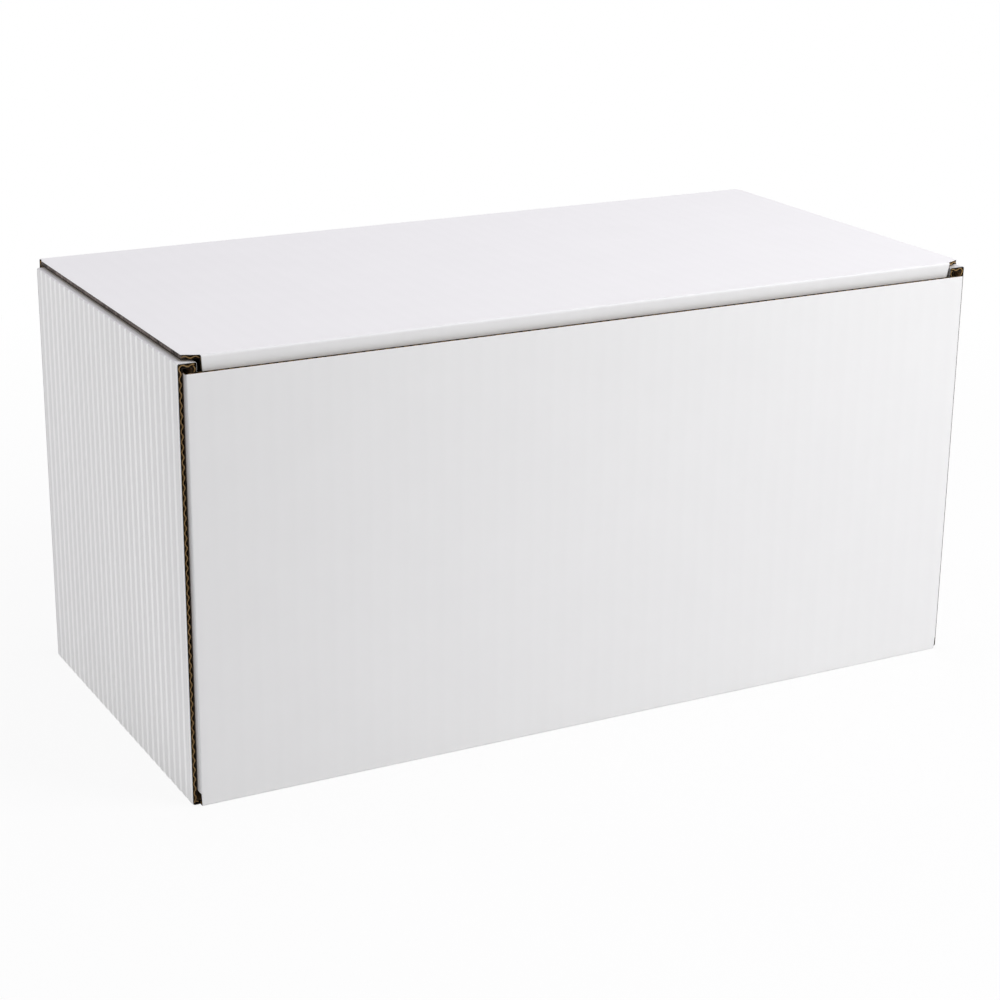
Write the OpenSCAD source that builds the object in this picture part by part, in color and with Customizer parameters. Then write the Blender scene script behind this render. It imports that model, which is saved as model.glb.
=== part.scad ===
// Corrugated mailer box with rolled side walls, dust ears and a hinged lid with a tuck flap.
// It is folded from one sheet of white-faced fluted board. The lid is closed.
// +X runs along the length, -Y is the front, and the origin is under the box's centre.

/* [Inside size] */
// Length between the rolled side walls
inner_l = 304.8; // [200:0.1:420]
// Depth from the front wall to the back wall
inner_d = 152.4; // [110:0.1:260]
// Height from the floor to the top of the side walls
inner_h = 155; // [90:0.1:260]

/* [Board] */
// Thickness of the board
board_t = 1.8; // [1.4:0.1:2.6]
// Distance from one flute to the next
flute_pitch = 3.5; // [3:0.1:5]
// Thickness of each of the two liners
liner_t = 0.3; // [0.2:0.05:0.4]
// Thickness of the wavy sheet between the liners
medium_t = 0.25; // [0.15:0.05:0.35]
// Half width of a flute's narrow side
flute_shoulder = 0.35; // [0.2:0.05:0.6]
// Plain board left at each end of a row of open flutes
flute_margin = 1; // [0.5:0.1:2]
// Depth of the open flutes at a raw edge
flute_depth = 3; // [1:0.5:4]
// Radius inside a fold
fold_r = 0.3; // [0.1:0.1:0.8]

/* [Side walls] */
// Gap between a dust ear and the outer layer of the side wall
ear_gap = 0.3; // [0.2:0.1:1]
// Gap between a dust ear and the inner layer of the side wall
inner_gap = 1.1; // [0.2:0.1:2]
// How far the side walls stop short of the front face
front_setback = 2.4; // [2.2:0.2:6]
// How far the side walls stop short of the back face
back_setback = 5; // [2.2:0.2:8]
// Distance from one rib of the outer face to the next
rib_pitch = 5.5; // [4:0.1:9]
// Width of a rib
rib_w = 3; // [1.5:0.1:3.5]
// Height of a rib above the outer face
rib_h = 0.2; // [0.1:0.05:0.4]
// Width of a locking tab
tab_w = 38; // [20:1:50]
// Distance of a locking tab's centre from the middle of the side wall
tab_offset = 36; // [28:1:45]
// Clearance round a locking tab in its slot
tab_clearance = 0.3; // [0.2:0.05:0.6]
// Gap between the inner layer and the floor it stands on
seat_gap = 0.2; // [0.1:0.05:0.4]

/* [Front wall and ears] */
// How far the front wall's top lies below the side walls' top
front_drop = 3.2; // [1:0.1:6]
// Length of a dust ear, from the face of its wall
ear_l = 62; // [30:1:70]
// How far the ears' top lies below the front wall's top
ear_drop = 0.6; // [0.2:0.1:3]
// Height of the ears' lower edge above the table
ear_lift = 5; // [4:0.5:10]
// How far the corner relief is cut into the end of each wall
corner_cut = 0.6; // [0.2:0.1:1.2]

/* [Lid] */
// Gap between the closed lid and the side walls
lid_gap = 0.6; // [0.2:0.1:1.2]
// Gap between the front wall and the tuck flap where it goes in
tuck_gap = 0.5; // [0.4:0.1:2.5]
// Outside radius of the fold at the lid's front
lid_fold_r = 2.7; // [2.3:0.1:4]
// Length of the tuck flap, from the lid's top
tuck_l = 30; // [15:1:32]
// Lean of the tuck flap towards the inside
tuck_lean = 8; // [5:0.5:9]
// Gap between the tuck flap's end and the side wall
tuck_side_gap = 1; // [0.6:0.1:3]
// How much the tuck flap narrows at each end towards its free edge
tuck_taper = 8; // [2:1:16]
// Radius of the tuck flap's corners
tuck_corner_r = 10; // [4:1:11]
// How far the lid's shoulders slant back beside the tuck flap
shoulder_slant = 0.6; // [0:0.1:4]
// Gap along the mitre between the lid and the back wall
hinge_gap = 0.2; // [0.1:0.05:0.4]

/* [Hidden] */
$fn = 48;
paper_white = "#f2f1f2";
fold_out_r = fold_r + board_t;
side_stack = 3 * board_t + ear_gap + inner_gap;
half_out = inner_l / 2 + side_stack;
half_panel = half_out - board_t - ear_gap;
half_depth = inner_d / 2 + board_t;
side_end = half_depth - (front_setback + back_setback) / 2;
side_mid = (front_setback - back_setback) / 2;
wall_h = board_t + inner_h;
front_h = wall_h - front_drop;
ear_top = front_h - ear_drop;
lid_bottom = wall_h + lid_gap;
lid_top = lid_bottom + board_t;
tuck_face = half_depth - board_t - tuck_gap;
half_tuck = inner_l / 2 - tuck_side_gap;
join = 0.02;
reach = 2 * (inner_l + inner_d + inner_h);
corner_steps = 6;

// A shape drawn in Y and Z, run along X and centred on x = 0
module along_x(length) {
    rotate([90, 0, 90]) linear_extrude(length, center = true) children();
}

// A shape drawn in X and Z, run along Y and centred on y = 0
module along_y(length) {
    rotate([90, 0, 0]) linear_extrude(length, center = true) children();
}

module both_sides() {
    children();
    mirror([1, 0, 0]) children();
}

module both_ends() {
    children();
    mirror([0, 1, 0]) children();
}

// A quarter of a fold: its corner is at the origin and the sheet turns from +X to +Y
module fold_quarter(outer_r) {
    intersection() {
        square(outer_r);
        translate([outer_r, outer_r]) difference() {
            circle(outer_r);
            circle(outer_r - board_t);
        }
    }
}

// One open flute of a raw edge, with its base on the line y = 0
module flute_cell() {
    arch = board_t - 2 * liner_t - medium_t;
    foot = flute_pitch / 2 - flute_shoulder;
    polygon([[-foot, 0], [foot, 0], [flute_shoulder, arch], [-flute_shoulder, arch]]);
}

// The open flutes along a raw edge that starts at the origin, runs to x = length and is board_t thick in Y
module flute_cells(length) {
    count = floor((length - 2 * flute_margin) / flute_pitch - 0.5);
    start = (length - (count - 0.5) * flute_pitch) / 2;
    for (i = [0 : count - 1]) {
        translate([start + i * flute_pitch, liner_t]) flute_cell();
        translate([start + (i + 0.5) * flute_pitch, board_t - liner_t]) mirror([0, 1]) flute_cell();
    }
}

// Floor, with the folds and feet of the front and back walls
module floor_and_feet() {
    foot_w = 2 * (half_panel - corner_cut);
    along_x(foot_w) {
        translate([-half_depth + fold_out_r, 0]) square([2 * (half_depth - fold_out_r), board_t]);
        for (side = [0, 1]) mirror([side, 0]) {
            translate([-half_depth, 0]) fold_quarter(fold_out_r);
            translate([-half_depth, fold_out_r]) square([board_t, ear_lift - fold_out_r + join]);
        }
    }
}

// Front or back wall above its foot, in plan, with the vertical folds into its two ears
module wall_plan() {
    straight = 2 * (half_panel - fold_out_r);
    translate([-straight / 2, -half_depth]) square([straight, board_t]);
    for (side = [0, 1]) mirror([side, 0]) {
        translate([-half_panel, -half_depth]) fold_quarter(fold_out_r);
    }
}

module ear_plan() {
    for (side = [0, 1]) mirror([side, 0]) {
        translate([-half_panel, -half_depth + fold_out_r]) square([board_t, ear_l - fold_out_r]);
    }
}

module ears() {
    translate([0, 0, ear_lift]) linear_extrude(ear_top - ear_lift) ear_plan();
}

module front_wall() {
    difference() {
        translate([0, 0, ear_lift]) linear_extrude(front_h - ear_lift) wall_plan();
        translate([0, 0, front_h - flute_depth]) linear_extrude(2 * flute_depth) {
            translate([-half_panel + fold_out_r, -half_depth]) flute_cells(2 * (half_panel - fold_out_r));
        }
    }
}

// Back wall, which ends above the ears in the mitre of the lid's hinge
module back_wall() {
    mirror([0, 1, 0]) translate([0, 0, ear_lift]) linear_extrude(ear_top - ear_lift) wall_plan();
    along_x(2 * (half_panel - corner_cut)) difference() {
        hinge_corner();
        translate([half_depth, lid_top]) rotate(45) translate([-reach, -hinge_gap / 2]) square(reach);
    }
}

// The square turn of the sheet from the back wall to the lid, with its outside edge rounded
module hinge_corner() {
    intersection() {
        union() {
            translate([half_depth - board_t, ear_top - join]) square([board_t, lid_top - ear_top + join]);
            translate([half_depth - fold_out_r, lid_bottom]) square([fold_out_r, board_t]);
        }
        union() {
            translate([half_depth - fold_out_r, ear_top - join])
                square([fold_out_r, lid_top - fold_out_r - ear_top + join]);
            translate([half_depth - fold_out_r, lid_top - fold_out_r]) circle(fold_out_r);
        }
    }
}

// Section of a side wall: outer layer, rolled top and inner layer
module side_section() {
    inner_foot = board_t + seat_gap;
    translate([-half_out, fold_out_r]) square([board_t, wall_h - 2 * fold_out_r]);
    translate([-half_out, 0]) fold_quarter(fold_out_r);
    translate([-half_out + fold_out_r, 0]) square([side_stack, board_t]);
    translate([-half_out, wall_h]) mirror([0, 1]) fold_quarter(fold_out_r);
    translate([-half_out + fold_out_r, wall_h - board_t]) square([side_stack - 2 * fold_out_r, board_t]);
    translate([-half_out + side_stack, wall_h]) mirror([1, 0]) mirror([0, 1]) fold_quarter(fold_out_r);
    translate([-inner_l / 2 - board_t, inner_foot]) square([board_t, wall_h - fold_out_r - inner_foot]);
}

// The open flutes at the two ends of a side wall's outer layer and rolled top
module side_flutes() {
    translate([-half_out + board_t, fold_out_r]) rotate(90) flute_cells(wall_h - 2 * fold_out_r);
    translate([-half_out + board_t / 2, wall_h - board_t]) flute_cells(side_stack - board_t);
}

module ribs() {
    count = floor((2 * side_end - rib_w) / rib_pitch) + 1;
    for (i = [0 : count - 1]) {
        translate([-half_out, (i - (count - 1) / 2) * rib_pitch, fold_out_r])
            linear_extrude(wall_h - 2 * fold_out_r)
                polygon([[join, -rib_w / 2], [join, rib_w / 2], [-rib_h, rib_w / 6], [-rib_h, -rib_w / 6]]);
    }
}

module side_wall() {
    difference() {
        along_y(2 * side_end) side_section();
        both_ends() translate([0, side_end, 0]) along_y(2 * flute_depth) side_flutes();
    }
    ribs();
    both_ends() translate([-inner_l / 2 - board_t, tab_offset - tab_w / 2, seat_gap])
        cube([board_t, tab_w, board_t + seat_gap]);
}

// The slots in the floor that the tabs of both side walls lock into
module tab_slots() {
    both_sides() both_ends()
        translate([-inner_l / 2 - board_t - tab_clearance, tab_offset - tab_w / 2 - tab_clearance, -board_t])
            cube([board_t + 2 * tab_clearance, tab_w + 2 * tab_clearance, 3 * board_t]);
}

module tray() {
    color(paper_white) {
        difference() {
            union() {
                floor_and_feet();
                both_sides() translate([0, side_mid, 0]) along_y(2 * side_end)
                    translate([-half_out + fold_out_r, 0]) square([half_out, board_t]);
            }
            translate([0, side_mid, 0]) tab_slots();
        }
        both_sides() translate([0, side_mid, 0]) side_wall();
        front_wall();
        back_wall();
        both_ends() ears();
    }
}

// Section of the lid: panel, front fold and tuck flap
module lid_section() {
    fold_y = -tuck_face + lid_fold_r;
    fold_z = lid_top - lid_fold_r;
    flap_l = tuck_l - lid_fold_r;
    translate([fold_y - join, lid_bottom]) square([half_depth - fold_out_r - fold_y + 2 * join, board_t]);
    difference() {
        hinge_corner();
        translate([half_depth, lid_top]) rotate(45) translate([-reach, hinge_gap / 2 - reach]) square(reach);
    }
    translate([fold_y, fold_z]) {
        intersection() {
            difference() {
                circle(lid_fold_r);
                circle(lid_fold_r - board_t);
            }
            union() {
                translate([-lid_fold_r, 0]) square(lid_fold_r);
                rotate(tuck_lean) translate([-lid_fold_r, 0]) square(lid_fold_r);
            }
        }
        rotate(tuck_lean) translate([-lid_fold_r, -flap_l]) square([board_t, flap_l + join]);
    }
}

// Plan of the lid behind its front fold, with the slanted shoulders
module lid_plan() {
    fold_y = -tuck_face + lid_fold_r;
    polygon([
        [-half_panel, half_depth], [half_panel, half_depth],
        [half_panel, fold_y + shoulder_slant], [half_tuck, fold_y],
        [half_tuck, -half_depth], [-half_tuck, -half_depth],
        [-half_tuck, fold_y], [-half_panel, fold_y + shoulder_slant]
    ]);
}

// Front view of the tuck flap, narrowed and rounded towards its free edge
module tuck_outline() {
    low = lid_top - tuck_l - board_t;
    end = half_tuck - tuck_taper;
    turn = atan2(tuck_taper, lid_bottom - low);
    inset = tuck_corner_r * tan((90 - turn) / 2);
    polygon([
        [-half_panel, lid_top + board_t], [half_panel, lid_top + board_t],
        [half_panel, lid_bottom], [half_tuck, lid_bottom],
        for (k = [0 : corner_steps])
            tuck_corner_point(end - inset, low + tuck_corner_r, turn, k / corner_steps),
        for (k = [0 : corner_steps])
            mirrored(tuck_corner_point(end - inset, low + tuck_corner_r, turn, 1 - k / corner_steps)),
        [-half_tuck, lid_bottom], [-half_panel, lid_bottom]
    ]);
}

// A point on the rounded corner, from the slanted end at share 0 to the free edge at share 1
function tuck_corner_point(x, z, turn, share) =
    let (angle = -turn - share * (90 - turn))
    [x + tuck_corner_r * cos(angle), z + tuck_corner_r * sin(angle)];
function mirrored(p) = [-p[0], p[1]];

module lid() {
    color(paper_white) intersection() {
        along_x(2 * half_panel) lid_section();
        translate([0, 0, -reach / 2]) linear_extrude(reach) lid_plan();
        along_y(reach) tuck_outline();
    }
}

tray();
lid();
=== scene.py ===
"""Looks of the corrugated mailer box: a die-cut sheet of white-faced fluted board, folded into a tray and a lid."""

import sys

import logging
import math
import random
from dataclasses import dataclass, field
from enum import Enum

import bmesh
import bpy
from mathutils import Matrix, Vector


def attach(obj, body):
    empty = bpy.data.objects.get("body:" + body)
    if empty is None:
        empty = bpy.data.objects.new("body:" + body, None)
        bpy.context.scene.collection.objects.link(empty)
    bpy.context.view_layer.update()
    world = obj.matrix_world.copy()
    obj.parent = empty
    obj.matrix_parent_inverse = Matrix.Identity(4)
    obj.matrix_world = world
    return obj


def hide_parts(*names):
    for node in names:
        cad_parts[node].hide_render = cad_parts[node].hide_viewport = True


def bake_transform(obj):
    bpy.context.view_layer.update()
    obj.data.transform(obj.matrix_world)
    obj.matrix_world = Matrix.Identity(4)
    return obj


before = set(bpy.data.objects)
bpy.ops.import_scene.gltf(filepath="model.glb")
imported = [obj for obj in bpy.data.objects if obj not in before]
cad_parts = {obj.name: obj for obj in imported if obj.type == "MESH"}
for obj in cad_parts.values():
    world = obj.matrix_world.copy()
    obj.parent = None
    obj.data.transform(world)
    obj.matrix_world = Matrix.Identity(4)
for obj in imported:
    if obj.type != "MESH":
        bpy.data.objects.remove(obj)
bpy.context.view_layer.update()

LOG = logging.getLogger("mailer_box")
MM = 0.001

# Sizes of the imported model, in millimetres
BOARD = 1.8
LINER = 0.3
FLUTE_PITCH = 3.5
FLUTE_DEPTH = 3.0
HALF_OUT = 159.2
HALF_PANEL = 157.1
HALF_DEPTH = 78.0
SIDE_FRONT = -75.6
SIDE_BACK = 73.0
SIDE_MID = (SIDE_FRONT + SIDE_BACK) / 2
SIDE_STACK = 6.8
WALL_H = 156.8
FRONT_H = 153.6
EAR_TOP = 153.0
EAR_LIFT = 5.0
EAR_L = 62.0
LID_TOP = 159.2
HALF_FOOT = 156.5
SEAT = 2.0
TAB_END = 0.2
TAB_NEAR, TAB_FAR = 17.0, 55.0
SLOT_GAP = 0.3
RIB_PITCH = 5.5
RIB_COUNT = 27

# Sizes that only the scene has, in millimetres
MEDIUM = 0.36
WAVE_SHIFT = 0.08
WAVE_SWING = 0.34
FOLD_R = 0.9
FOLD_LEN = FOLD_R * math.pi / 2
CORNER_R = 0.5
CORNER_LEN = CORNER_R * math.pi / 2
HINGE_LEG = 3.0
CUT_SNAP = 1e-5
MERGE_GAP = 1e-4
NEAR = 1e-3

SHARP_ANGLE = math.radians(32)

# A corner of a flat blank: distance, place across, and whether the edge that leaves it is raw
Corner = tuple[float, float, bool]
Colour = tuple[float, float, float, float]


class Body(Enum):
    """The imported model's bodies that pieces ride on."""

    TRAY = "tray"
    LID = "lid"


class Slot(Enum):
    """The record's material slots."""

    WHITE = "white_board"
    KRAFT = "kraft_edge"


class Section(Enum):
    """The plane that a strip of board is folded in."""

    PLAN = "plan"
    ALONG_DEPTH = "along_depth"
    ALONG_LENGTH = "along_length"


# ---------------------------------------------------------------- materials


class NodeBench:
    """Adds and links nodes in one tree."""

    def __init__(self, tree: bpy.types.NodeTree) -> None:
        """Keeps the tree.

        Args:
            tree: The material's, group's or world's node tree.
        """
        self.tree = tree

    def add(self, kind: str, **settings: object) -> bpy.types.Node:
        """Adds a node and sets its properties.

        Args:
            kind: The node's type name.
            settings: Properties of the node by name.

        Returns:
            The new node.
        """
        node = self.tree.nodes.new(kind)
        for name, value in settings.items():
            setattr(node, name, value)
        return node

    def link(self, source: bpy.types.NodeSocket, target: bpy.types.NodeSocket) -> None:
        """Joins an output socket to an input socket."""
        self.tree.links.new(source, target)

    def math(self, operation: str, first: object, second: object = 0.0, third: object = 0.0) -> bpy.types.NodeSocket:
        """Adds a Math node whose inputs are sockets or numbers.

        Args:
            operation: The Math node's operation.
            first: First input.
            second: Second input.
            third: Third input, where the operation has one.

        Returns:
            The node's output socket.
        """
        node = self.add("ShaderNodeMath", operation=operation)
        for index, value in enumerate((first, second, third)):
            if isinstance(value, bpy.types.NodeSocket):
                self.link(value, node.inputs[index])
            else:
                node.inputs[index].default_value = value
        return node.outputs[0]

    def blend(self, factor: object, dark: object, light: object, kind: str = "MIX") -> bpy.types.NodeSocket:
        """Mixes two colours.

        Args:
            factor: Share of the second colour, a socket or a number.
            dark: First colour, a socket or four numbers.
            light: Second colour, a socket or four numbers.
            kind: The Mix node's blend type.

        Returns:
            The mixed colour's socket.
        """
        node = self.add("ShaderNodeMix", data_type="RGBA", blend_type=kind)
        for socket, value in ((node.inputs[0], factor), (node.inputs[6], dark), (node.inputs[7], light)):
            if isinstance(value, bpy.types.NodeSocket):
                self.link(value, socket)
            else:
                socket.default_value = value
        return node.outputs[2]

    def group(self, tree: bpy.types.NodeTree, **values: object) -> bpy.types.Node:
        """Places a node group with its own input values.

        Args:
            tree: The group.
            values: Inputs by name, with underscores for spaces.

        Returns:
            The group node.
        """
        node = self.add("ShaderNodeGroup", node_tree=tree)
        for name, value in values.items():
            socket = node.inputs[name.replace("_", " ")]
            if isinstance(value, bpy.types.NodeSocket):
                self.link(value, socket)
            else:
                socket.default_value = value
        return node


class PaperEffects:
    """The shared node groups: paper fibres and clouding, the flutes' washboard and the ribs' painted light and shade.
    """

    # Painted light and shade of a rib by its phase: plain, a painted highlight, painted shade, then plain again.
    RIB_PAINTED_SHADES = (
        (0.0, 0.52), (0.28, 0.6), (0.32, 1.0), (0.5, 1.0), (0.54, 0.0), (0.74, 0.08), (0.8, 0.42), (1.0, 0.52),
    )
    FLUTE_DRIFT = 0.25
    SECOND_WAVE = 0.45
    # How strongly the ribs' painted light and shade shows, varying slowly along them.
    RIB_DRIFT = 1.2
    RIB_LEAST = 0.4

    def __init__(self) -> None:
        """Builds the groups once."""
        self.fibres = self._fibres()
        self.washboard = self._washboard()
        self.rib_painted_shading = self._rib_painted_shading()

    @staticmethod
    def _start(
        name: str, inputs: dict[str, str], outputs: dict[str, str]
    ) -> tuple[NodeBench, bpy.types.Node, bpy.types.Node]:
        """Makes an empty group with its sockets.

        Args:
            name: The group's name.
            inputs: Socket types by input name.
            outputs: Socket types by output name.

        Returns:
            The bench, the group's input node and its output node.
        """
        tree = bpy.data.node_groups.new(name, "ShaderNodeTree")
        for names, way in ((inputs, "INPUT"), (outputs, "OUTPUT")):
            for socket, kind in names.items():
                tree.interface.new_socket(name=socket, in_out=way, socket_type=kind)
        bench = NodeBench(tree)
        return bench, bench.add("NodeGroupInput"), bench.add("NodeGroupOutput")

    def _fibres(self) -> bpy.types.NodeTree:
        """Paper seen close: matted fibres, and the slow clouding of the sheet.

        Returns:
            The node group.
        """
        bench, start, end = self._start(
            "paper_fibres",
            {"Vector": "NodeSocketVector", "Fibre Scale": "NodeSocketFloat", "Cloud Scale": "NodeSocketFloat"},
            {"Fibre": "NodeSocketFloat", "Cloud": "NodeSocketFloat"},
        )
        fibre = bench.add("ShaderNodeTexNoise")
        fibre.inputs["Detail"].default_value = 5.0
        fibre.inputs["Roughness"].default_value = 0.6
        fibre.inputs["Distortion"].default_value = 1.2
        cloud = bench.add("ShaderNodeTexNoise")
        cloud.inputs["Detail"].default_value = 3.0
        for node, scale in ((fibre, "Fibre Scale"), (cloud, "Cloud Scale")):
            bench.link(start.outputs["Vector"], node.inputs["Vector"])
            bench.link(start.outputs[scale], node.inputs["Scale"])
        bench.link(fibre.outputs["Fac"], end.inputs["Fibre"])
        bench.link(cloud.outputs["Fac"], end.inputs["Cloud"])
        return bench.tree

    def _washboard(self) -> bpy.types.NodeTree:
        """Faint ridges where the liner sinks between the glued flute tips.

        Returns:
            The node group.
        """
        bench, start, end = self._start(
            "washboard",
            {"Vector": "NodeSocketVector", "Coordinate": "NodeSocketFloat", "Pitch": "NodeSocketFloat"},
            {"Ridge": "NodeSocketFloat"},
        )
        drift = bench.add("ShaderNodeTexNoise")
        drift.inputs["Scale"].default_value = 25.0
        drift.inputs["Detail"].default_value = 1.0
        bench.link(start.outputs["Vector"], drift.inputs["Vector"])
        cycles = bench.math("DIVIDE", start.outputs["Coordinate"], start.outputs["Pitch"])
        moved = bench.math("MULTIPLY_ADD", drift.outputs["Fac"], self.FLUTE_DRIFT, cycles)
        wave = bench.math("SINE", bench.math("MULTIPLY", moved, math.tau))
        second = bench.math("SINE", bench.math("MULTIPLY", moved, 2 * math.tau))
        bench.link(bench.math("MULTIPLY_ADD", second, self.SECOND_WAVE, wave), end.inputs["Ridge"])
        return bench.tree

    def _rib_painted_shading(self) -> bpy.types.NodeTree:
        """Painted light and shade of the pressed ribs: each has a painted highlight on one flank, painted shade on
        the other flank and a plain top.

        Returns:
            The node group.
        """
        bench, start, end = self._start(
            "rib_painted_shading",
            {"Vector": "NodeSocketVector", "Coordinate": "NodeSocketFloat", "Pitch": "NodeSocketFloat"},
            {"Ridge": "NodeSocketFloat"},
        )
        drift = bench.add("ShaderNodeTexNoise")
        drift.inputs["Scale"].default_value = 30.0
        drift.inputs["Detail"].default_value = 2.0
        stretch = bench.add("ShaderNodeMapping")
        stretch.inputs["Scale"].default_value = (1.0, 1.0, 0.08)
        bench.link(start.outputs["Vector"], stretch.inputs["Vector"])
        bench.link(stretch.outputs[0], drift.inputs["Vector"])
        cycles = bench.math("DIVIDE", start.outputs["Coordinate"], start.outputs["Pitch"])
        phase = bench.math("FRACT", bench.math("MULTIPLY", cycles, -1.0))
        ramp = bench.add("ShaderNodeValToRGB")
        while len(ramp.color_ramp.elements) < len(self.RIB_PAINTED_SHADES):
            ramp.color_ramp.elements.new(0.5)
        for element, (place, grey) in zip(ramp.color_ramp.elements, self.RIB_PAINTED_SHADES):
            element.position = place
            element.color = (grey, grey, grey, 1.0)
        bench.link(phase, ramp.inputs[0])
        depth = bench.math("MULTIPLY_ADD", drift.outputs["Fac"], self.RIB_DRIFT, self.RIB_LEAST)
        centred = bench.math("MULTIPLY_ADD", ramp.outputs[0], 2.0, -1.0)
        bench.link(bench.math("MULTIPLY", centred, depth), end.inputs["Ridge"])
        return bench.tree


def new_material(name: str) -> tuple[bpy.types.Material, NodeBench, bpy.types.Node, bpy.types.NodeSocket]:
    """Starts a material.

    Args:
        name: The material's name.

    Returns:
        The material, its bench, its Principled shader and the Object coordinates.
    """
    material = bpy.data.materials.new(name)
    material.use_nodes = True
    bench = NodeBench(material.node_tree)
    shader = next(node for node in material.node_tree.nodes if node.type == "BSDF_PRINCIPLED")
    return material, bench, shader, bench.add("ShaderNodeTexCoord").outputs["Object"]


class Pressing(Enum):
    """What the white face carries: the flutes showing through, or the painted light and shade of the side walls'
    ribs.
    """

    FLUTES = "flutes"
    RIBS = "ribs"


@dataclass(frozen=True)
class WhiteFace:
    """The coated white face of the board."""

    name: str
    pressing: Pressing
    stripe: float
    light: Colour = (0.905, 0.905, 0.905, 1.0)
    dark: Colour = (0.868, 0.868, 0.868, 1.0)
    fibre_scale: float = 1700.0
    cloud_scale: float = 55.0
    fibre_share: float = 0.35
    # Width and strength of the painted highlight along the side wall's front raw edge.
    edge_highlight_width: float = 1.1
    edge_highlight: float = 0.75
    roughness: float = 0.62
    roughness_spread: float = 0.12
    flute_relief: float = 0.15
    fibre_relief: float = 0.25

    def build(self, effects: PaperEffects) -> bpy.types.Material:
        """Makes the material.

        Args:
            effects: The shared node groups.

        Returns:
            The material.
        """
        material, bench, shader, place = new_material(self.name)
        paper = bench.group(effects.fibres, Vector=place, Fibre_Scale=self.fibre_scale, Cloud_Scale=self.cloud_scale)
        axes = bench.add("ShaderNodeSeparateXYZ")
        bench.link(place, axes.inputs[0])
        ribbed = self.pressing is Pressing.RIBS
        across, pitch = ("Y", RIB_PITCH) if ribbed else ("X", FLUTE_PITCH * 2)
        # For the ribs, the pattern is painted light and shade of their flanks, multiplied into the white.
        tree = effects.rib_painted_shading if ribbed else effects.washboard
        along = axes.outputs[across]
        if ribbed:
            along = bench.math("SUBTRACT", along, SIDE_MID * MM)
        ridge = bench.group(tree, Vector=place, Coordinate=along, Pitch=pitch * MM).outputs["Ridge"]
        if ribbed:
            outside = bench.math("GREATER_THAN", bench.math("ABSOLUTE", axes.outputs["X"]), (HALF_OUT - LINER) * MM)
            # Painted highlight: a light band along the side wall's front raw edge, added to the rib pattern.
            rim = bench.math("LESS_THAN", axes.outputs["Y"], (SIDE_FRONT + self.edge_highlight_width) * MM)
            ridge = bench.math("MAXIMUM", ridge, bench.math("MULTIPLY", rim, self.edge_highlight))
            ridge = bench.math("MULTIPLY", ridge, outside)
        clouding = bench.math("MULTIPLY", paper.outputs["Cloud"], 1 - self.fibre_share)
        soft = bench.math("MULTIPLY_ADD", paper.outputs["Fibre"], self.fibre_share, clouding)
        colour = bench.blend(soft, self.dark, self.light)
        shade = bench.math("MULTIPLY_ADD", ridge, self.stripe, 1.0)
        grey = bench.add("ShaderNodeCombineColor")
        for socket in grey.inputs[:3]:
            bench.link(shade, socket)
        bench.link(bench.blend(1.0, colour, grey.outputs[0], "MULTIPLY"), shader.inputs["Base Color"])
        smoothest = self.roughness - self.roughness_spread / 2
        rough = bench.math("MULTIPLY_ADD", paper.outputs["Fibre"], self.roughness_spread, smoothest)
        bench.link(rough, shader.inputs["Roughness"])
        shader.inputs["Specular IOR Level"].default_value = 0.3
        relief = 0.0 if ribbed else self.flute_relief
        fibres = bench.math("MULTIPLY", paper.outputs["Fibre"], self.fibre_relief)
        height = bench.math("MULTIPLY_ADD", ridge, relief, fibres)
        bump = bench.add("ShaderNodeBump")
        bump.inputs["Strength"].default_value = 0.12
        bump.inputs["Distance"].default_value = 0.0001
        bench.link(height, bump.inputs["Height"])
        bench.link(bump.outputs[0], shader.inputs["Normal"])
        return material


@dataclass(frozen=True)
class KraftPaper:
    """Brown paper: a liner's inside face, a cut edge painted near-black with shade, the wavy medium, or the painted
    shadow that fills the hollow flutes between the liners.
    """

    name: str
    light: Colour
    dark: Colour
    fibre_scale: float = 900.0
    cloud_scale: float = 90.0
    fibre_share: float = 0.6
    bump: float = 0.3
    roughness: float = 0.85
    spread: float = 0.2

    def build(self, effects: PaperEffects) -> bpy.types.Material:
        """Makes the material.

        Args:
            effects: The shared node groups.

        Returns:
            The material.
        """
        material, bench, shader, place = new_material(self.name)
        stretch = bench.add("ShaderNodeMapping")
        stretch.inputs["Scale"].default_value = (1.0, 1.0, 0.4)
        bench.link(place, stretch.inputs["Vector"])
        paper = bench.group(
            effects.fibres, Vector=stretch.outputs[0], Fibre_Scale=self.fibre_scale, Cloud_Scale=self.cloud_scale
        )
        clouding = bench.math("MULTIPLY", paper.outputs["Cloud"], 1 - self.fibre_share)
        soft = bench.math("MULTIPLY_ADD", paper.outputs["Fibre"], self.fibre_share, clouding)
        spread = bench.add("ShaderNodeMapRange")
        spread.inputs["From Min"].default_value = 0.5 - self.spread
        spread.inputs["From Max"].default_value = 0.5 + self.spread
        bench.link(soft, spread.inputs["Value"])
        bench.link(bench.blend(spread.outputs[0], self.dark, self.light), shader.inputs["Base Color"])
        shader.inputs["Roughness"].default_value = self.roughness
        shader.inputs["Specular IOR Level"].default_value = 0.2
        bump = bench.add("ShaderNodeBump")
        bump.inputs["Strength"].default_value = self.bump
        bump.inputs["Distance"].default_value = 0.00015
        bench.link(paper.outputs["Fibre"], bump.inputs["Height"])
        bench.link(bump.outputs[0], shader.inputs["Normal"])
        return material


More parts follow.
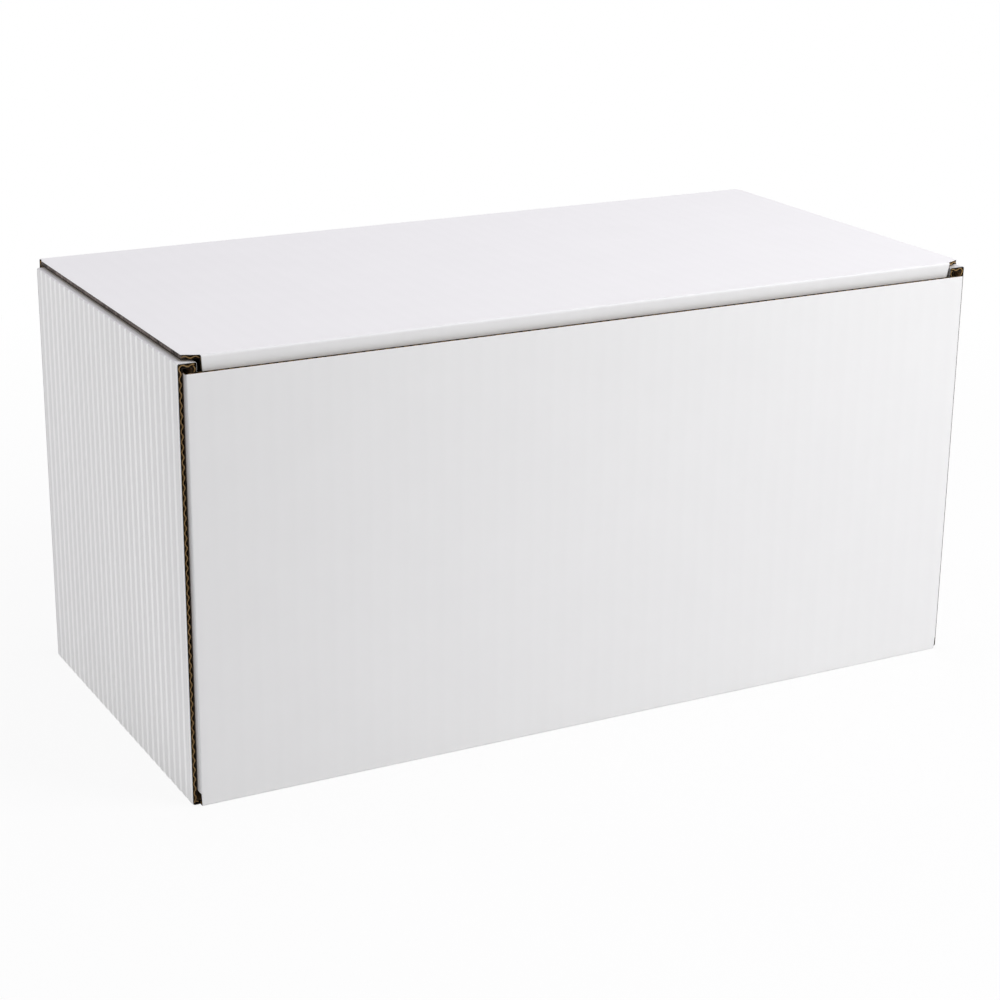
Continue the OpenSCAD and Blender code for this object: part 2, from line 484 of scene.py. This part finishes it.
@dataclass
class Palette:
    """Every finish of the box, built once."""

    front: bpy.types.Material = field(init=False)
    side: bpy.types.Material = field(init=False)
    kraft: bpy.types.Material = field(init=False)
    cut: bpy.types.Material = field(init=False)
    medium: bpy.types.Material = field(init=False)
    dark: bpy.types.Material = field(init=False)
    crushed: bpy.types.Material = field(init=False)

    def __post_init__(self) -> None:
        """Builds the materials."""
        effects = PaperEffects()
        self.front = WhiteFace("white_face_fluted", Pressing.FLUTES, 0.003).build(effects)
        # The side walls' white is a darker copy of the same board white: painted shade, which also leaves room for
        # the painted rib highlights; 0.25 is the strength of the painted rib light and shade.
        self.side = WhiteFace(
            "white_face_ribbed", Pressing.RIBS, 0.25, (0.815, 0.815, 0.815, 1), (0.785, 0.785, 0.785, 1)
        ).build(effects)
        self.kraft = KraftPaper(
            "kraft_liner", (0.43, 0.29, 0.165, 1), (0.34, 0.22, 0.12, 1), fibre_scale=500.0
        ).build(effects)
        # Cut liner edges and the liners' faces to the flutes: kraft brown painted near-black with the shade of the
        # narrow edges.
        self.cut = KraftPaper("cut_edge_painted_shade", (0.022, 0.014, 0.008, 1), (0.01, 0.006, 0.003, 1)).build(effects)
        self.medium = KraftPaper("fluted_medium", (0.43, 0.275, 0.12, 1), (0.25, 0.15, 0.055, 1)).build(effects)
        # Near-black painted shadow that fills the hollow flutes between the liners.
        self.dark = KraftPaper("flute_shadow", (0.012, 0.007, 0.003, 1), (0.005, 0.003, 0.001, 1)).build(effects)
        # Torn board along the lid's side edges: its grey-brown is the torn board, its near-black streaks are painted
        # shade between the torn flutes.
        self.crushed = KraftPaper(
            "crushed_edge", (0.22, 0.18, 0.165, 1), (0.025, 0.018, 0.015, 1), fibre_scale=420.0, spread=0.09
        ).build(effects)


# ---------------------------------------------------------------- folded board


@dataclass(frozen=True)
class Run:
    """A flat length of the sheet."""

    length: float
    steps: int = 1


@dataclass(frozen=True)
class Turn:
    """A fold, with the radius of its outer face."""

    radius: float
    degrees: float
    steps: int = 8

    @property
    def length(self) -> float:
        """Length of the fold's outer face."""
        return self.radius * math.radians(self.degrees)


@dataclass
class FoldPath:
    """The line of the sheet's white outer face, which every fold turns towards the sheet's inner side.

    Args:
        start: First point, in the plane of the section.
        heading: Direction of the first leg, in degrees.
        inward: +1 where the inner side is to the left of the heading, -1 where it is to the right.
        legs: Flat lengths and folds in order.
    """

    start: tuple[float, float]
    heading: float
    inward: int
    legs: list[Run | Turn]

    @property
    def length(self) -> float:
        """Whole length of the path."""
        return sum(leg.length for leg in self.legs)

    def stations(self) -> list[float]:
        """Finds where the blank is cut before it is folded.

        Returns:
            Distances where a flat leg ends or a fold needs another facet.
        """
        cuts, reached = [], 0.0
        for leg in self.legs:
            cuts += [reached + leg.length * step / leg.steps for step in range(1, leg.steps + 1)]
            reached += leg.length
        return cuts[:-1]

    def at(self, distance: float, depth: float) -> tuple[float, float]:
        """Finds a point of the sheet.

        Args:
            distance: Distance along the outer face.
            depth: Depth below the outer face.

        Returns:
            The point in the plane of the section.
        """
        spot = Vector(self.start)
        angle = math.radians(self.heading)
        left = distance
        last = len(self.legs) - 1
        for index, leg in enumerate(self.legs):
            ahead = Vector((math.cos(angle), math.sin(angle)))
            inner = Vector((-ahead.y, ahead.x)) * self.inward
            if index == last or left <= leg.length + 1e-9:
                break
            left -= leg.length
            if isinstance(leg, Run):
                spot = spot + ahead * leg.length
            else:
                swept = math.radians(leg.degrees)
                spot = spot + ahead * leg.radius * math.sin(swept) + inner * leg.radius * (1 - math.cos(swept))
                angle += swept * self.inward
        if isinstance(leg, Run):
            along = max(left, self.squeeze(index - 1, depth))
            along = min(along, leg.length - self.squeeze(index + 1, depth)) if index < last else along
            return tuple(spot + ahead * along + inner * depth)
        if depth > leg.radius:
            return tuple(spot - ahead * self.squeeze(index, depth) + inner * depth)
        swept = min(left, leg.length) / leg.radius
        over = leg.radius - depth
        return tuple(spot + ahead * over * math.sin(swept) + inner * (leg.radius - over * math.cos(swept)))

    def squeeze(self, index: int, depth: float) -> float:
        """Finds how much of the flat legs beside it a fold takes, at a depth below its centre.

        Args:
            index: The fold's number among the legs.
            depth: Depth below the outer face.

        Returns:
            The length, or 0 where there is no such fold.
        """
        if not 0 <= index < len(self.legs) or isinstance(self.legs[index], Run):
            return 0.0
        fold = self.legs[index]
        return max(0.0, depth - fold.radius) * math.tan(math.radians(fold.degrees) / 2)


def finish_mesh(name: str, bm: bmesh.types.BMesh, materials: list[bpy.types.Material]) -> bpy.types.Object:
    """Turns a bmesh in millimetres into an object in metres at the origin.

    Args:
        name: The piece's name.
        bm: Its mesh, which is freed.
        materials: Its materials by face index.

    Returns:
        The linked object.
    """
    bmesh.ops.remove_doubles(bm, verts=bm.verts[:], dist=MERGE_GAP)
    bmesh.ops.scale(bm, vec=(MM, MM, MM), verts=bm.verts[:])
    bmesh.ops.recalc_face_normals(bm, faces=bm.faces[:])
    mesh = bpy.data.meshes.new(name)
    bm.to_mesh(mesh)
    bm.free()
    for material in materials:
        mesh.materials.append(material)
    mesh.shade_smooth()
    mesh.set_sharp_from_angle(angle=SHARP_ANGLE)
    piece = bpy.data.objects.new(name, mesh)
    bpy.context.scene.collection.objects.link(piece)
    return piece


@dataclass
class BoardStrip:
    """A strip of the sheet with its liners, its dark middle of painted shadow for the hollow flutes, and the wavy
    medium along its raw edges.

    Args:
        name: First part of its pieces' names.
        body: The body that it rides on, or None where it rides on neither.
        path: The folds that the strip follows.
        outline: Corners of the flat blank as distance, place across, and whether the edge that leaves is raw.
        core: Corners of the dark middle, a painted shadow for the hollow flutes.
        section: The plane of the folds.
        face: Material of the white outer face.
        palette: The other finishes.
        flip: Signs of X and Y, for the strip's mirrored or turned twin.
        slots: Rectangles cut out, as lowest and highest distance and place across.
        ribs: Places across of the raised ribs, each with its height.
        rib_span: First and last distance with ribs.
        along: Numbers of the raw edges that are cut along the flutes, so that they show no wave.
        rib_flat: Half width of a rib's plain top.
        groove: Depth of the face between two ribs.
        wave_facets: Facets of the medium in each flute.
        wave_step: How far the wave is ahead from one raw edge to the next.
        ribbon_setback: How far the medium lies behind the cut.
        torn: How uneven the torn medium is.
        pressed: How much thinner the torn medium is than the space between the liners.
        shortest: Length below which a raw edge gets no medium.
    """

    name: str
    body: Body | None
    path: FoldPath
    outline: list[Corner]
    core: list[tuple[float, float]]
    section: Section
    face: bpy.types.Material
    palette: Palette
    flip: tuple[int, int] = (1, 1)
    slots: list[tuple[float, float, float, float]] = field(default_factory=list)
    ribs: list[tuple[float, float]] = field(default_factory=list)
    rib_span: tuple[float, float] = (0.0, 0.0)
    along: tuple[int, ...] = ()
    rib_flat: float = 1.25
    groove: float = 0.15
    wave_facets: int = 10
    wave_step: float = 1.3
    ribbon_setback: float = 0.12
    torn: float = 0.06
    pressed: float = 0.16
    shortest: float = 1.5

    def place(self, distance: float, across: float, depth: float) -> Vector:
        """Finds a point of the folded strip.

        Args:
            distance: Distance along the path.
            across: Place across the strip.
            depth: Depth below the outer face.

        Returns:
            The point in the shared frame, in millimetres.
        """
        u, v = self.path.at(distance, depth)
        if self.section is Section.PLAN:
            spot = Vector((u, v, across))
        elif self.section is Section.ALONG_DEPTH:
            spot = Vector((across, u, v))
        else:
            spot = Vector((u, across, v))
        return Vector((spot.x * self.flip[0], spot.y * self.flip[1], spot.z))

    def blank(self, corners: list[tuple[float, float]], top: float, bottom: float) -> bmesh.types.BMesh:
        """Makes one flat layer of the blank.

        Args:
            corners: Its outline.
            top: Depth of its outer face.
            bottom: Depth of its inner face.

        Returns:
            The closed layer, with its rim on material 1 and its face to the flutes on material 2.
        """
        bm = bmesh.new()
        bm.faces.new([bm.verts.new((s, w, 0.0)) for s, w in corners])
        for station in self.path.stations():
            self.cut(bm, (station, 0, 0), (1, 0, 0))
        for low, high, near, far in self.slots:
            for distance in (low, high):
                self.cut(bm, (distance, 0, 0), (1, 0, 0))
            for across in (near, far):
                self.cut(bm, (0, across, 0), (0, 1, 0))
            inside = [
                face for face in bm.faces
                if low < face.calc_center_median().x < high and near < face.calc_center_median().y < far
            ]
            bmesh.ops.delete(bm, geom=inside, context="FACES")
        for centre, _ in self.ribs if top == 0.0 else []:
            for offset in (-RIB_PITCH / 2, -self.rib_flat, self.rib_flat, RIB_PITCH / 2):
                self.cut(bm, (0, centre + offset, 0), (0, 1, 0))
        bmesh.ops.solidify(bm, geom=bm.faces[:], thickness=bottom - top)
        lowest = min(vert.co.z for vert in bm.verts)
        bmesh.ops.translate(bm, vec=(0, 0, top - lowest), verts=bm.verts[:])
        if top == 0.0:
            self.crush_edges(bm)
        bm.normal_update()
        hidden = bottom if top == 0.0 else top
        for face in bm.faces:
            if abs(face.normal.z) < 0.5:
                face.material_index = 1
            elif abs(face.calc_center_median().z - hidden) < NEAR:
                face.material_index = 2
        return bm

    def crush_edges(self, bm: bmesh.types.BMesh, offset: float = 0.14) -> None:
        """Bevels the white face along the raw edges, where the die has pressed it.

        Args:
            bm: The flat outer liner.
            offset: Width of the bevel.
        """
        count = len(self.outline)
        raw = [
            (Vector((s, w)), Vector(self.outline[(index + 1) % count][:2]))
            for index, (s, w, is_raw) in enumerate(self.outline) if is_raw
        ]
        rim = []
        for edge in bm.edges:
            a, b = (vert.co for vert in edge.verts)
            if max(abs(a.z), abs(b.z)) > MERGE_GAP or len(edge.link_faces) != 2:
                continue
            if any(self.on_line(a.xy, *line) and self.on_line(b.xy, *line) for line in raw):
                rim.append(edge)
        bmesh.ops.bevel(bm, geom=rim, offset=offset, segments=1, profile=0.5, affect="EDGES", material=-1)

    @staticmethod
    def on_line(spot: Vector, start: Vector, end: Vector) -> bool:
        """Tells whether a spot of the blank lies on a line between two corners."""
        along = (spot - start).dot(end - start) / (end - start).length_squared
        return -CUT_SNAP <= along <= 1 + CUT_SNAP and (start.lerp(end, along) - spot).length < NEAR

    @staticmethod
    def cut(bm: bmesh.types.BMesh, spot: tuple[float, float, float], way: tuple[float, float, float]) -> None:
        """Cuts the flat blank along a line."""
        geometry = bm.verts[:] + bm.edges[:] + bm.faces[:]
        bmesh.ops.bisect_plane(bm, geom=geometry, plane_co=spot, plane_no=way, dist=CUT_SNAP)

    def raise_ribs(self, bm: bmesh.types.BMesh) -> None:
        """Lifts the outer face of the blank at each rib and sinks it between them.

        Args:
            bm: The flat outer liner.
        """
        first, last = self.rib_span
        for vert in bm.verts:
            if abs(vert.co.z) > MERGE_GAP or not first - NEAR < vert.co.x < last + NEAR:
                continue
            for centre, height in self.ribs:
                if abs(vert.co.y - centre) <= self.rib_flat + NEAR:
                    vert.co.z = -height
                elif abs(abs(vert.co.y - centre) - RIB_PITCH / 2) < NEAR:
                    vert.co.z = self.groove

    def wrap(self, bm: bmesh.types.BMesh) -> None:
        """Folds a flat layer along the path."""
        for vert in bm.verts:
            vert.co = self.place(vert.co.x, vert.co.y, vert.co.z)

    def layer(
        self,
        part: str,
        corners: list[tuple[float, float]],
        top: float,
        bottom: float,
        materials: list[bpy.types.Material],
    ) -> bpy.types.Object:
        """Makes one folded layer.

        Args:
            part: Last part of its name.
            corners: Its outline.
            top: Depth of its outer face.
            bottom: Depth of its inner face.
            materials: Its face, rim and flute-side materials.

        Returns:
            The piece.
        """
        bm = self.blank(corners, top, bottom)
        if self.ribs and top == 0.0:
            self.raise_ribs(bm)
        self.wrap(bm)
        return finish_mesh(f"{self.name}_{part}", bm, materials)

    def wave(self, distance: float) -> float:
        """Height of the wavy medium, from its middle."""
        return WAVE_SHIFT + WAVE_SWING * math.sin(math.tau * distance / FLUTE_PITCH)

    def ribbons(self, crushed: bool) -> bmesh.types.BMesh:
        """Makes the medium along the raw edges.

        Args:
            crushed: Whether it takes the edges cut along the flutes, where the medium is torn and pressed flat, or
                the others, where it is a wave.

        Returns:
            The folded ribbons.
        """
        whole = bmesh.new()
        draw = random.Random(5)
        count = len(self.outline)
        for index, (s0, w0, raw) in enumerate(self.outline):
            s1, w1, _ = self.outline[(index + 1) % count]
            edge = Vector((s1 - s0, w1 - w0))
            if not raw or edge.length < self.shortest or (index in self.along) is not crushed:
                continue
            ahead = edge.normalized()
            inner = Vector((-ahead.y, ahead.x))
            steps = max(4, round(edge.length / FLUTE_PITCH * self.wave_facets))
            bm = bmesh.new()
            bmesh.ops.create_grid(bm, x_segments=steps, y_segments=1, size=0.5)
            for vert in bm.verts:
                along = (vert.co.x + 0.5) * edge.length
                back = self.ribbon_setback + (vert.co.y + 0.5) * FLUTE_DEPTH
                spot = Vector((s0, w0)) + ahead * along + inner * back
                if crushed:
                    height = draw.uniform(-self.torn, self.torn)
                else:
                    height = self.wave(along + index * self.wave_step)
                vert.co = (spot.x, spot.y, BOARD / 2 + height)
            thick = BOARD - 2 * LINER - self.pressed if crushed else MEDIUM
            bmesh.ops.solidify(bm, geom=bm.faces[:], thickness=thick)
            bmesh.ops.translate(bm, vec=(0, 0, thick / 2), verts=bm.verts[:])
            spare = bpy.data.meshes.new("ribbon")
            bm.to_mesh(spare)
            bm.free()
            whole.from_mesh(spare)
            bpy.data.meshes.remove(spare)
        self.wrap(whole)
        return whole

    def build(self) -> list[bpy.types.Object]:
        """Builds the strip's pieces and gives each its body.

        Returns:
            The pieces: white liner, kraft liner, dark middle of painted shadow, wavy medium and, where it has one,
                crushed edge.
        """
        corners = [(s, w) for s, w, _ in self.outline]
        pal = self.palette
        # Rims and faces to the flutes take the cut material, painted near-black with shade.
        white = self.layer("white_liner", corners, 0.0, LINER, [self.face, pal.cut, pal.cut])
        kraft = self.layer("kraft_liner", corners, BOARD - LINER, BOARD, [pal.kraft, pal.cut, pal.cut])
        # The board's middle is a near-black slab of painted shadow standing in for the shade inside the hollow
        # flutes.
        core = self.layer("flute_painted_shadow", self.core, LINER, BOARD - LINER, [pal.dark, pal.dark, pal.dark])
        medium = finish_mesh(f"{self.name}_flute_medium", self.ribbons(False), [pal.medium])
        made = [white, kraft, core, medium]
        if self.along:
            made.append(finish_mesh(f"{self.name}_crushed_edge", self.ribbons(True), [pal.crushed]))
        for piece in made:
            if self.body is not None:
                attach(piece, self.body.value)
            LOG.info("%s: %d faces", piece.name, len(piece.data.polygons))
        return made


# ---------------------------------------------------------------- sub-assemblies


@dataclass
class EndWall:
    """Front or back wall with its two dust ears, folded round the box's corners."""

    palette: Palette
    name: str
    top: float
    back: bool
    relief: float = 0.55
    core_step: float = 2.0

    def build(self) -> list[bpy.types.Object]:
        """Builds the wall.

        Returns:
            Its pieces.
        """
        ear = EAR_L - CORNER_R
        wall = 2 * (HALF_PANEL - CORNER_R)
        path = FoldPath(
            (-HALF_PANEL, -HALF_DEPTH + EAR_L), -90, 1,
            [Run(ear), Turn(CORNER_R, 90), Run(wall), Turn(CORNER_R, 90), Run(ear)],
        )
        a0, a1 = ear, ear + CORNER_LEN
        b1, b0 = a1 + wall, a1 + wall + CORNER_LEN
        end = path.length
        outline: list[Corner] = [
            (0, EAR_LIFT, True), (a0 + self.relief, EAR_LIFT, True), (a1, FOLD_R, False),
            (b1, FOLD_R, True), (b0 - self.relief, EAR_LIFT, True), (end, EAR_LIFT, True), (end, EAR_TOP, True),
        ]
        if self.back:
            outline += [
                (b0 - self.relief, EAR_TOP, True), (b1, self.top, False),
                (a1, self.top, True), (a0 + self.relief, EAR_TOP, True),
            ]
        else:
            outline += [(b0, EAR_TOP, True), (b0, self.top, True), (a0, self.top, True), (a0, EAR_TOP, True)]
        outline += [(0, EAR_TOP, True)]
        low, high = EAR_LIFT + FLUTE_DEPTH, EAR_TOP - FLUTE_DEPTH
        head = self.top if self.back else self.top - FLUTE_DEPTH
        a2, b2 = a1 + self.core_step, b1 - self.core_step
        core = [
            (FLUTE_DEPTH, low), (a1, low), (a2, FOLD_R), (b2, FOLD_R), (b1, low), (end - FLUTE_DEPTH, low),
            (end - FLUTE_DEPTH, high), (b1, high), (b2, head), (a2, head), (a1, high), (FLUTE_DEPTH, high),
        ]
        flip = (-1, -1) if self.back else (1, 1)
        return BoardStrip(
            self.name, Body.TRAY, path, outline, core, Section.PLAN, self.palette.front, self.palette, flip
        ).build()


@dataclass
class Floor:
    """Floor with the folds up into the front and back walls, and the slots for the locking tabs."""

    palette: Palette

    def build(self) -> list[bpy.types.Object]:
        """Builds the floor.

        Returns:
            Its pieces.
        """
        flat = 2 * (HALF_DEPTH - FOLD_R)
        path = FoldPath((-HALF_DEPTH, FOLD_R), -90, 1, [Turn(FOLD_R, 90), Run(flat), Turn(FOLD_R, 90)])
        end = path.length
        middle = FOLD_LEN + HALF_DEPTH - FOLD_R
        front, back = middle + SIDE_FRONT, middle + SIDE_BACK
        half = HALF_PANEL - CORNER_R
        edge = [
            (0, half), (FOLD_LEN / 2, HALF_FOOT), (front, HALF_FOOT), (front, HALF_PANEL),
            (back, HALF_PANEL), (back, HALF_FOOT), (end - FOLD_LEN / 2, HALF_FOOT), (end, half),
        ]
        raws = (True, True, True, False, True, True, True, False)
        outline: list[Corner] = [(s, -w, raw) for (s, w), raw in zip(edge, raws)]
        outline += [(s, w, raw) for (s, w), raw in zip(reversed(edge), raws)]
        inner = half - FLUTE_DEPTH
        core = [(0, -inner), (end, -inner), (end, inner), (0, inner)]
        middle += SIDE_MID
        inner_layer = HALF_OUT - SIDE_STACK + BOARD / 2
        half_slot = BOARD / 2 + SLOT_GAP
        slots = [
            (middle + lo - SLOT_GAP, middle + hi + SLOT_GAP, side - half_slot, side + half_slot)
            for side in (inner_layer, -inner_layer)
            for lo, hi in ((TAB_NEAR, TAB_FAR), (-TAB_FAR, -TAB_NEAR))
        ]
        return BoardStrip(
            "floor", Body.TRAY, path, outline, core, Section.ALONG_DEPTH, self.palette.front, self.palette,
            slots=slots,
        ).build()


@dataclass
class SideWall:
    """Side wall with ribs outside, rolled over its top and locked into the floor with two tabs."""

    palette: Palette
    name: str
    right: bool
    seed: int = 7
    top_r: float = 0.7
    core_gap: float = 1.0
    rib_low: float = 0.14
    rib_high: float = 0.2
    rib_overrun: float = 0.4

    def build(self) -> list[bpy.types.Object]:
        """Builds the side wall.

        Returns:
            Its pieces.
        """
        rise = WALL_H - FOLD_R - self.top_r
        inner = WALL_H - self.top_r - SEAT
        lead = HALF_OUT - FOLD_R - HALF_PANEL
        path = FoldPath(
            (-HALF_PANEL, 0), 180, -1,
            [
                Run(lead), Turn(FOLD_R, 90), Run(rise), Turn(self.top_r, 90), Run(SIDE_STACK - 2 * self.top_r),
                Turn(self.top_r, 90), Run(inner), Run(SEAT - TAB_END),
            ],
        )
        foot = path.length - (SEAT - TAB_END)
        end = path.length
        outline: list[Corner] = [(0, SIDE_FRONT, True), (foot, SIDE_FRONT, False)]
        for near, far in ((-TAB_FAR, -TAB_NEAR), (TAB_NEAR, TAB_FAR)):
            near, far = SIDE_MID + near, SIDE_MID + far
            outline += [(foot, near, False), (end, near, False), (end, far, False), (foot, far, False)]
        outline += [(foot, SIDE_BACK, True), (0, SIDE_BACK, False)]
        low, high = SIDE_FRONT + FLUTE_DEPTH, SIDE_BACK - FLUTE_DEPTH
        core_end = foot - self.core_gap
        core = [(0, low), (core_end, low), (core_end, high), (0, high)]
        draw = random.Random(self.seed)
        first = SIDE_MID - (RIB_COUNT - 1) / 2 * RIB_PITCH
        ribs = [(first + rib * RIB_PITCH, draw.uniform(self.rib_low, self.rib_high)) for rib in range(RIB_COUNT)]
        return BoardStrip(
            self.name, Body.TRAY, path, outline, core, Section.ALONG_LENGTH, self.palette.side, self.palette,
            (-1 if self.right else 1, 1), [], ribs,
            (lead + FOLD_LEN / 2, lead + FOLD_LEN + rise + self.rib_overrun),
        ).build()


@dataclass
class Lid:
    """Lid panel with its shoulders, front fold and tuck flap."""

    palette: Palette
    fold_r: float = 0.8
    lean: float = 9.0
    shoulder_y: float = -73.2
    face_y: float = -76.6
    half_tuck: float = 151.4
    taper: float = 8.0
    corner_r: float = 10.0
    flap: float = 28.6
    neck: float = 6.0
    neck_taper: float = 0.6
    steps: int = 8
    fold_steps: int = 10
    core_bend: float = 12.0
    core_neck: float = 140.5
    core_end: float = 132.0

    def build(self) -> list[bpy.types.Object]:
        """Builds the lid.

        Returns:
            Its pieces.
        """
        hinge_y = HALF_DEPTH - FOLD_R - HINGE_LEG
        fold = hinge_y - self.face_y - self.fold_r
        path = FoldPath(
            (hinge_y, LID_TOP), 180, 1,
            [Run(fold), Turn(self.fold_r, 90 + self.lean, self.fold_steps), Run(self.flap)],
        )
        end = path.length
        shoulder = hinge_y - self.shoulder_y
        centre = Vector((end - self.corner_r, self.half_tuck - self.taper + self.neck_taper - self.corner_r))
        rounded = [
            centre + self.corner_r * Vector((math.sin(a), math.cos(a)))
            for a in (math.pi / 2 * step / self.steps for step in range(self.steps + 1))
        ]
        half: list[tuple[float, float]] = [
            (0, HALF_PANEL), (shoulder, HALF_PANEL), (fold, self.half_tuck),
            (fold + self.neck, self.half_tuck - self.neck_taper),
        ]
        half += [tuple(spot) for spot in rounded]
        outline: list[Corner] = [(s, -w, True) for s, w in half]
        outline += [(s, w, True) for s, w in reversed(half)]
        outline[-1] = (*outline[-1][:2], False)
        d = FLUTE_DEPTH
        core_half = [
            (0, HALF_PANEL - d), (shoulder - d, HALF_PANEL - d), (fold, self.half_tuck - d),
            (end - self.core_bend, self.core_neck), (end - d, self.core_end),
        ]
        core = [(s, -w) for s, w in core_half] + [(s, w) for s, w in reversed(core_half)]
        return BoardStrip(
            "lid", Body.LID, path, outline, core, Section.ALONG_DEPTH, self.palette.front, self.palette,
            along=(0, len(outline) - 2),
        ).build()


@dataclass
class Crease:
    """The fold between the back wall and the lid, which rides on neither body."""

    palette: Palette
    steps: int = 12

    def build(self) -> list[bpy.types.Object]:
        """Builds the crease and bakes each piece's placement into its mesh.

        Returns:
            Its pieces.
        """
        leg = Run(HINGE_LEG, self.steps)
        path = FoldPath((HALF_DEPTH, LID_TOP - FOLD_R - HINGE_LEG), 90, 1, [leg, Turn(FOLD_R, 90, self.steps), leg])
        half = HALF_PANEL - CORNER_R
        end = path.length
        outline: list[Corner] = [(0, -half, True), (end, -HALF_FOOT, False), (end, HALF_FOOT, True), (0, half, False)]
        inner = half - FLUTE_DEPTH
        core = [(0, -inner), (end, -inner), (end, inner), (0, inner)]
        made = BoardStrip(
            "lid_crease", None, path, outline, core, Section.ALONG_DEPTH, self.palette.front, self.palette
        ).build()
        for piece in made:
            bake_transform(piece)
        return made


# ---------------------------------------------------------------- studio


@dataclass(frozen=True)
class SoftLamp:
    """A square soft lamp that points at the box."""

    name: str
    place: tuple[float, float, float]
    size: float
    watts: float
    colour: tuple[float, float, float] = (1.0, 1.0, 1.0)
    target: tuple[float, float, float] = (0.0, 0.0, 0.08)

    def build(self) -> None:
        """Hangs the lamp."""
        data = bpy.data.lights.new(self.name, "AREA")
        data.energy, data.size, data.color = self.watts, self.size, self.colour
        lamp = bpy.data.objects.new(self.name, data)
        lamp.location = self.place
        aim = Vector(self.target) - Vector(self.place)
        lamp.rotation_euler = aim.to_track_quat("-Z", "Y").to_euler()
        bpy.context.scene.collection.objects.link(lamp)


@dataclass
class Studio:
    """White floor, even world light, soft lamps and the camera."""

    azimuth: float = -28.202
    elevation: float = 18.961
    roll: float = 0.627
    eye: tuple[float, float, float] = (-0.4052, -0.7546, 0.3575)
    focal: float = 83.19
    sensor: float = 36.0
    world_light: float = 0.33
    floor_half: float = 4000.0
    floor_drop: float = 0.00005
    floor_shade: Colour = (0.88, 0.88, 0.88, 1.0)
    lamps: tuple[SoftLamp, ...] = (
        SoftLamp("key_lamp", (0.75, -0.75, 0.85), 0.7, 10.0),
        SoftLamp("top_lamp", (0.1, 0.1, 1.3), 1.0, 4.4, (0.93, 0.86, 1.0)),
        SoftLamp("left_lamp", (-2.1, 2.2, 0.5), 1.0, 34.0),
    )

    def build(self) -> None:
        """Builds the studio."""
        self.sky()
        self.floor()
        for lamp in self.lamps:
            lamp.build()
        self.camera()
        bpy.context.scene.view_settings.view_transform = "Standard"

    @staticmethod
    def seen(bench: NodeBench) -> bpy.types.NodeSocket:
        """Adds the share of a ray that the camera sees directly, in a reflection or through glass.

        Args:
            bench: The bench of the material or world.

        Returns:
            The share's socket.
        """
        rays = bench.add("ShaderNodeLightPath")
        seen = bench.math("MAXIMUM", rays.outputs["Is Camera Ray"], rays.outputs["Is Glossy Ray"])
        return bench.math("MAXIMUM", seen, rays.outputs["Is Transmission Ray"])

    def sky(self) -> None:
        """Lights the room evenly and shows white behind the box."""
        world = bpy.data.worlds.new("studio_world")
        world.use_nodes = True
        bench = NodeBench(world.node_tree)
        world.node_tree.nodes.clear()
        light = bench.add("ShaderNodeBackground")
        light.inputs["Color"].default_value = (1, 1, 1, 1)
        light.inputs["Strength"].default_value = self.world_light
        white = bench.add("ShaderNodeBackground")
        white.inputs["Color"].default_value = (1, 1, 1, 1)
        mix = bench.add("ShaderNodeMixShader")
        bench.link(self.seen(bench), mix.inputs[0])
        bench.link(light.outputs[0], mix.inputs[1])
        bench.link(white.outputs[0], mix.inputs[2])
        bench.link(mix.outputs[0], bench.add("ShaderNodeOutputWorld").inputs[0])
        bpy.context.scene.world = world

    def floor(self) -> None:
        """Lays the white floor, which keeps a soft part of the box's shadow."""
        bm = bmesh.new()
        bmesh.ops.create_grid(bm, x_segments=1, y_segments=1, size=self.floor_half)
        floor = finish_mesh("studio_floor", bm, [])
        floor.data.transform(Matrix.Translation((0, 0, -self.floor_drop)))
        material = bpy.data.materials.new("studio_floor")
        material.use_nodes = True
        material.node_tree.nodes.clear()
        bench = NodeBench(material.node_tree)
        matte = bench.add("ShaderNodeBsdfDiffuse")
        matte.inputs["Color"].default_value = self.floor_shade
        glow = bench.add("ShaderNodeEmission")
        mix = bench.add("ShaderNodeMixShader")
        away = bench.add("ShaderNodeVectorMath", operation="LENGTH")
        bench.link(bench.add("ShaderNodeTexCoord").outputs["Object"], away.inputs[0])
        share = bench.add("ShaderNodeMapRange")
        for socket, value in (("From Min", 0.2), ("From Max", 0.6), ("To Min", 0.9), ("To Max", 1.0)):
            share.inputs[socket].default_value = value
        bench.link(away.outputs["Value"], share.inputs["Value"])
        bench.link(bench.math("MULTIPLY", self.seen(bench), share.outputs[0]), mix.inputs[0])
        bench.link(matte.outputs[0], mix.inputs[1])
        bench.link(glow.outputs[0], mix.inputs[2])
        bench.link(mix.outputs[0], bench.add("ShaderNodeOutputMaterial").inputs[0])
        floor.data.materials.append(material)

    def camera(self) -> None:
        """Sets the camera where the photograph was taken."""
        az, el, roll = (math.radians(value) for value in (self.azimuth, self.elevation, self.roll))
        back = Vector((math.sin(az) * math.cos(el), -math.cos(az) * math.cos(el), math.sin(el)))
        ahead = -back
        right = ahead.cross(Vector((0, 0, 1))).normalized()
        down = ahead.cross(right)
        turned_right = right * math.cos(roll) - down * math.sin(roll)
        turned_down = right * math.sin(roll) + down * math.cos(roll)
        data = bpy.data.cameras.new("camera")
        data.sensor_width = self.sensor
        data.lens = self.focal
        camera = bpy.data.objects.new("camera", data)
        turn = Matrix((turned_right, -turned_down, back)).transposed()
        camera.matrix_world = Matrix.Translation(self.eye) @ turn.to_4x4()
        bpy.context.scene.collection.objects.link(camera)
        bpy.context.scene.camera = camera


def main() -> None:
    """Builds the box, then the studio, and reports each piece."""
    logging.basicConfig(level=logging.INFO, format="%(name)s %(message)s", stream=sys.stdout)
    palette = Palette()
    tray = EndWall(palette, "front_wall", FRONT_H, False).build()
    EndWall(palette, "back_wall", LID_TOP - FOLD_R - HINGE_LEG, True).build()
    Floor(palette).build()
    SideWall(palette, "left_side", False).build()
    SideWall(palette, "right_side", True, seed=11).build()
    lid = Lid(palette).build()
    Crease(palette).build()
    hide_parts("tray")
    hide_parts("lid")
    Studio().build()


if __name__ == "__main__":
    main()
